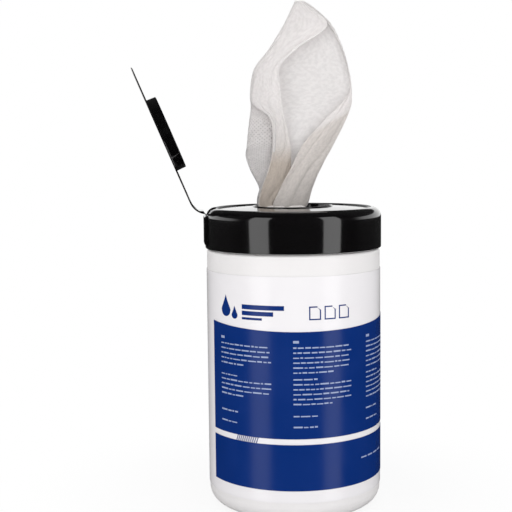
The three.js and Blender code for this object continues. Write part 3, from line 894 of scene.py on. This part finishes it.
def cloth_material(name, colour, dot_depth, by_sheet, see_through=0.0):
    """The cloth's material. A sheet also reads how much painted shade darkens each part and how
    deeply each part is dotted.
    """
    material, shader = new_material(name, colour, cloth_roughness)
    tree = material.node_tree
    made, wire = tree.nodes, tree.links
    weave = made.new("ShaderNodeGroup")
    weave.node_tree = cloth_group
    weave.inputs["Dot Depth"].default_value = dot_depth
    place = made.new("ShaderNodeTexCoord")
    wire.new(place.outputs["UV" if by_sheet else "Object"], weave.inputs["Cloth Place"])
    wire.new(weave.outputs["Normal"], shader.inputs["Normal"])
    pitted = ranged(tree, weave.outputs["Dots"], start=pit_reach, end=(pit_shade, 1))
    mottled = ranged(tree, weave.outputs["Fibres"], start=fibre_spread, end=fibre_shades)
    shade = maths(tree, "MULTIPLY", pitted.outputs["Result"], mottled.outputs["Result"])
    # Painted shade: the colour is darkened by the share that the sheet's state gives.
    painted_shade_mix = made.new("ShaderNodeMix")
    painted_shade_mix.data_type = "RGBA"
    painted_shade_mix.inputs["Factor"].default_value = 0
    painted_shade_mix.inputs["A"].default_value = (*colour, 1)
    painted_shade_mix.inputs["B"].default_value = (*(c * w for c, w in zip(colour, painted_fold_shade)), 1)
    flecked = made.new("ShaderNodeVectorMath")
    flecked.operation = "SCALE"
    wire.new(painted_shade_mix.outputs["Result"], flecked.inputs[0])
    wire.new(shade, flecked.inputs["Scale"])
    wire.new(flecked.outputs["Vector"], shader.inputs["Base Color"])
    if by_sheet:
        state = made.new("ShaderNodeAttribute")
        state.attribute_name = "cloth_state"
        parts = made.new("ShaderNodeSeparateXYZ")
        wire.new(state.outputs["Vector"], parts.inputs[0])
        wire.new(parts.outputs["X"], painted_shade_mix.inputs["Factor"])
        depth = ranged(tree, parts.outputs["Y"], end=(pit_shade_faint, pit_shade_deep))
        wire.new(depth.outputs["Result"], pitted.inputs["To Min"])
        relief = ranged(tree, parts.outputs["Y"], end=(dot_depth * faint_dots, dot_depth))
        wire.new(relief.outputs["Result"], weave.inputs["Dot Depth"])
    shader.inputs["Sheen Weight"].default_value = cloth_sheen
    if see_through:
        behind = made.new("ShaderNodeBsdfTranslucent")
        behind.inputs["Color"].default_value = (*colour, 1)
        wire.new(weave.outputs["Normal"], behind.inputs["Normal"])
        # Painted shade also takes light away from behind: less shows through where it lies.
        see_through_share = ranged(tree, parts.outputs["X"], end=(see_through, see_through * shaded_see_through))
        both = mixed(tree, see_through_share.outputs["Result"], shader.outputs[0], behind.outputs[0])
        wire.new(both, made["Material Output"].inputs["Surface"])
    return material


roll = turned("roll_of_wipes", roll_profile, closed=True, steps=128, sharp=60)
roll_cloth = cloth_material("roll_cloth", roll_colour, dot_depth=0.4, by_sheet=False)
roll.data.materials.append(roll_cloth)
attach(roll, "canister")
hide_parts("wipe_roll")

# The first wipe: a thin damp nonwoven sheet, drawn up by one corner through the star slits. It
# stands by its gathered folds: a left strip and a right strip lie in front of the back.
tuck_depth = 4
sheet_across, sheet_up = 132, 150
sheet_width, sheet_height = 0.125, 0.13
cloth_white = (0.97, 0.95, 0.945)
cloth_thickness = 0.45
front_depth = 0.56
back_shares = (0.3, 0.7)
# The folds: how deep they are, how close they come across the grid and up the sheet.
pleat_depth, pleat_across, pleat_sway, pleat_up = 0.45, 0.55, 1.7, 4
pleat_end = 2.2
ripple_depth, ripple_across, ripple_up = 0.5, 0.09, 6.0
ridge_depth, ridge_across, ridge_up, ridge_lean = 0.8, 0.075, 3.2, 2.5
ridge_narrow, ridge_start = 2.4, 4
fine_depth, fine_across, fine_up = 0.12, 0.3, 16.0
ripple_layer, ridge_layer, fine_layer = 3.1, 6.7, 9.4
diagonal = 0.7071
# Painted shade's parts and the dotted flap, as shares of the sheet's width and height from edge
# to edge.
right_strip_edge = (0.76, 0.80)
right_strip_shade, right_strip_shade_drop = 0.56, 0.47
# The line of the fold's shadow on the right strip: painted shade below it, less above it.
shadow_line_low, shadow_line_climb, shadow_line_blur = 0.44, 0.36, 0.04
left_strip_edge, left_strip_top, left_strip_shade = (0.25, 0.2), (0.58, 0.2), 1.1
foot_edge, foot_shade = (0.14, 0.0), 0.5
flap_left, flap_right, flap_top = (0.24, 0.28), (0.56, 0.5), (0.62, 0.45)
# Each row: its height, then the spots of the free edge, the left fold, the flap's edge, the right
# fold and the right strip's edge, and how far the back stands behind them.
sheet_rows = [
    (184.5, (-8, -5), (-14.5, -7), (-13.5, -2), (4.5, -1), (-9.5, -9), 1.0),
    (187, (-11, -6), (-21, -8), (-19.5, -1), (9, 0), (-13, -11), 2),
    (197.5, (-5, -7), (-20, -10), (-20.8, 0), (12.5, 0), (-9, -12), 3),
    (211.5, (-1.5, -8), (-15, -10.5), (-27.3, -1), (18.5, -2), (-1.5, -11.5), 1),
    (219, (-1.2, -7.6), (-13.4, -9.8), (-29.3, -1), (22.2, -2), (2.2, -10.6), 0.2),
    (225, (-1.6, -7.6), (-13, -9.4), (-28.5, -1), (25.6, -2), (5.7, -10), 0),
    (241.5, (-5, -8.4), (-14.3, -8.4), (-26.6, 0), (34.2, -1), (21, -7.6), 0.8),
    (250.5, (-6.8, -9.4), (-24.5, -6.5), (-25.5, 1), (37.3, 0), (30.5, -6), 1.6),
    (259, (-7.6, -10), (-25, -5), (-25.2, 1), (37.3, 0), (36, -3.6), 2.2),
    (272, (-8, -9.8), (-22.6, -5), (-22.4, 1), (35.4, 1), (34.6, -2), 2.6),
    (284, (3, -9), (-13.5, -4), (-13.2, 1), (31.4, 1), (31, -1), 3),
    (299, (22, -4), (-4, -4), (-3.8, 0), (23.8, 1), (23.6, 0), 3),
    (313, (6.6, -3.5), (2.8, -3.5), (2.8, -0.8), (7.2, -0.4), (7.4, -0.8), 0.3),
]


def section_points(row):
    """The ten spots of the cloth's line at one height."""
    z, free, fold, flap, right, strip, belly = row
    tuck = tuck_depth if fold[0] - flap[0] > tuck_depth / 2 else -tuck_depth / 8
    back_y = max(flap[1], right[1]) + belly

    def back(share):
        return (flap[0] + (right[0] - flap[0]) * share, back_y)

    def middle(a, b):
        return ((a[0] + b[0]) / 2, min(a[1], b[1]) - belly / 4)

    spots = [free, middle(free, fold), fold, (fold[0] + tuck, (fold[1] + flap[1]) / 2), flap,
             *map(back, back_shares), right, middle(right, strip), strip]
    return [Vector((x, y * front_depth if y < 0 else y, z)) for x, y in spots]


def smooth_curve(spots, share):
    """A point on the centripetal curve through the spots."""
    place = share * (len(spots) - 1)
    i = min(int(place), len(spots) - 2)
    t = place - i
    p1, p2 = spots[i], spots[i + 1]
    p0 = spots[i - 1] if i else p1 * 2 - p2
    p3 = spots[i + 2] if i + 2 < len(spots) else p2 * 2 - p1
    d0 = max((p1 - p0).length ** 0.5, 1e-4)
    d1 = max((p2 - p1).length ** 0.5, 1e-4)
    d2 = max((p3 - p2).length ** 0.5, 1e-4)
    m1 = ((p1 - p0) / d0 - (p2 - p0) / (d0 + d1) + (p2 - p1) / d1) * d1
    m2 = ((p2 - p1) / d1 - (p3 - p1) / (d1 + d2) + (p3 - p2) / d2) * d1
    return (p1 * (2 * t ** 3 - 3 * t ** 2 + 1) + m1 * (t ** 3 - 2 * t ** 2 + t)
            + p2 * (-2 * t ** 3 + 3 * t ** 2) + m2 * (t ** 3 - t ** 2))


ribs = [section_points(row) for row in sheet_rows]
grid = []
for j in range(sheet_up + 1):
    spots = [smooth_curve([rib[k] for rib in ribs], j / sheet_up) for k in range(len(ribs[0]))]
    grid.append([smooth_curve(spots, i / sheet_across) for i in range(sheet_across + 1)])


def grid_normal(j, i):
    """The cloth's own direction at a point of the grid."""
    du = grid[j][min(i + 1, sheet_across)] - grid[j][max(i - 1, 0)]
    dv = grid[min(j + 1, sheet_up)][i] - grid[max(j - 1, 0)][i]
    return du.cross(dv).normalized()


def cloth_state(across, rise):
    """How much painted shade darkens the cloth, and how deep its dots are, at a share of its
    width and height.
    """
    def step(low, high, value):
        t = min(1.0, max(0.0, (value - low) / (high - low)))
        return t * t * (3 - 2 * t)

    # Painted shade: the right strip is darker below a slanted line, the edge of the fold's
    # shadow, and lighter above it; the left strip and the foot are darker too.
    shadow_line = shadow_line_low + (1 - across) * shadow_line_climb
    shade_drop = right_strip_shade_drop * step(shadow_line, shadow_line + shadow_line_blur, rise)
    right_strip = step(*right_strip_edge, across) * (right_strip_shade - shade_drop)
    left_strip = (step(*left_strip_edge, across) * step(*left_strip_top, rise)
                  * left_strip_shade)
    painted_shade = max(right_strip, left_strip, step(*foot_edge, rise) * foot_shade)
    flap = step(*flap_left, across) * step(*flap_right, across) * step(*flap_top, rise)
    return painted_shade, flap, 0.0


sheet_points, sheet_uvs, sheet_states = [], [], []
for j in range(sheet_up + 1):
    rise = j / sheet_up
    for i in range(sheet_across + 1):
        spot = grid[j][i]
        bunched = max(0.0, 1 - rise * pleat_end)
        pleat = math.sin(i * pleat_across + pleat_sway * math.sin(rise * pleat_up))
        ripple = noise.noise(Vector((i * ripple_across, rise * ripple_up, ripple_layer)))
        ridge = 1 - ridge_narrow * abs(noise.noise(Vector((
            i * ridge_across + rise * ridge_lean, rise * ridge_up, ridge_layer))))
        crease = max(0.0, ridge) ** 3 * min(1.0, ridge_start * rise)
        fine = noise.noise(Vector((i * fine_across, rise * fine_up, fine_layer)))
        folded = (pleat * pleat_depth * bunched + ripple * ripple_depth + crease * ridge_depth
                  + fine * fine_depth)
        sheet_points.append((spot + grid_normal(j, i) * folded) * mm)
        along, up = i / sheet_across * sheet_width, rise * sheet_height
        sheet_uvs.append(((along + up) * diagonal, (up - along) * diagonal))
        sheet_states.append(cloth_state(i / sheet_across, rise))
row_size = sheet_across + 1
corners = (j * row_size + i for j in range(sheet_up) for i in range(sheet_across))
sheet_faces = [(c, c + 1, c + row_size + 1, c + row_size) for c in corners]
sheet = new_piece("wipe_sheet", sheet_points, sheet_faces, sharp=180)
state_layer = sheet.data.attributes.new("cloth_state", "FLOAT_VECTOR", "POINT")
for place, state in enumerate(sheet_states):
    state_layer.data[place].vector = state
uv_layer = sheet.data.uv_layers.new(name="cloth")
for loop in sheet.data.loops:
    uv_layer.data[loop.index].uv = sheet_uvs[loop.vertex_index]
thicken = sheet.modifiers.new("thicken", "SOLIDIFY")
thicken.thickness = cloth_thickness * mm
thicken.offset = 0
bpy.context.view_layer.update()
graph = bpy.context.evaluated_depsgraph_get()
sheet_mesh = bpy.data.meshes.new_from_object(sheet.evaluated_get(graph))
sheet.modifiers.clear()
sheet.data = sheet_mesh
sheet_cloth = cloth_material("wipe_cloth", cloth_white, dot_depth=0.8, by_sheet=True,
                             see_through=0.55)
sheet.data.materials.append(sheet_cloth)

# The gathered foot of the same wipe, from the tub through the star slits. Each level: its height,
# its half width and half depth, and how far it has moved to the sheet's foot.
gather_levels = [
    (135.2, 5.0, 5.0, 0.0), (176, 6.1, 6.1, 0.0), (180.5, 6.0, 6.0, 0.02),
    (184.0, 10.8, 5.0, 0.6), (186.4, 13.0, 3.8, 1.0), (187.2, 11.8, 3.0, 1.0),
    (187.8, 8.0, 2.0, 1.0), (188.1, 0.3, 0.3, 1.0),
]
gather_centre = (-6.0, -3.6)
gather_colour = (0.66, 0.64, 0.62)
gather_around = 180
# Each fold round the gather: how deep it is, how many there are, and how they turn as they rise.
gather_folds = [(0.07, 9, 0.05), (0.03, 23, 0.2)]
gather_points, gather_faces = [], []
for z, wide, deep, part in gather_levels:
    for i in range(gather_around):
        angle = 2 * math.pi * i / gather_around
        fold = 1 + sum(depth * math.cos(number * angle + z * twist)
                       for depth, number, twist in gather_folds)
        x = gather_centre[0] * part + wide * fold * math.cos(angle)
        y = gather_centre[1] * part + deep * fold * math.sin(angle)
        gather_points.append((x * mm, y * mm, z * mm))
for j in range(len(gather_levels) - 1):
    for i in range(gather_around):
        n = (i + 1) % gather_around
        gather_faces.append((j * gather_around + i, j * gather_around + n,
                             (j + 1) * gather_around + n, (j + 1) * gather_around + i))
top = (len(gather_levels) - 1) * gather_around
gather_faces += [tuple(range(gather_around - 1, -1, -1)), tuple(range(top, top + gather_around))]
gather = new_piece("wipe_gather", gather_points, gather_faces, sharp=70)
gather_cloth = cloth_material("gather_cloth", gather_colour, dot_depth=0.5, by_sheet=False)
gather.data.materials.append(gather_cloth)
for piece in (sheet, gather):
    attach(piece, "cap")
    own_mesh(piece)
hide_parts("wipe")
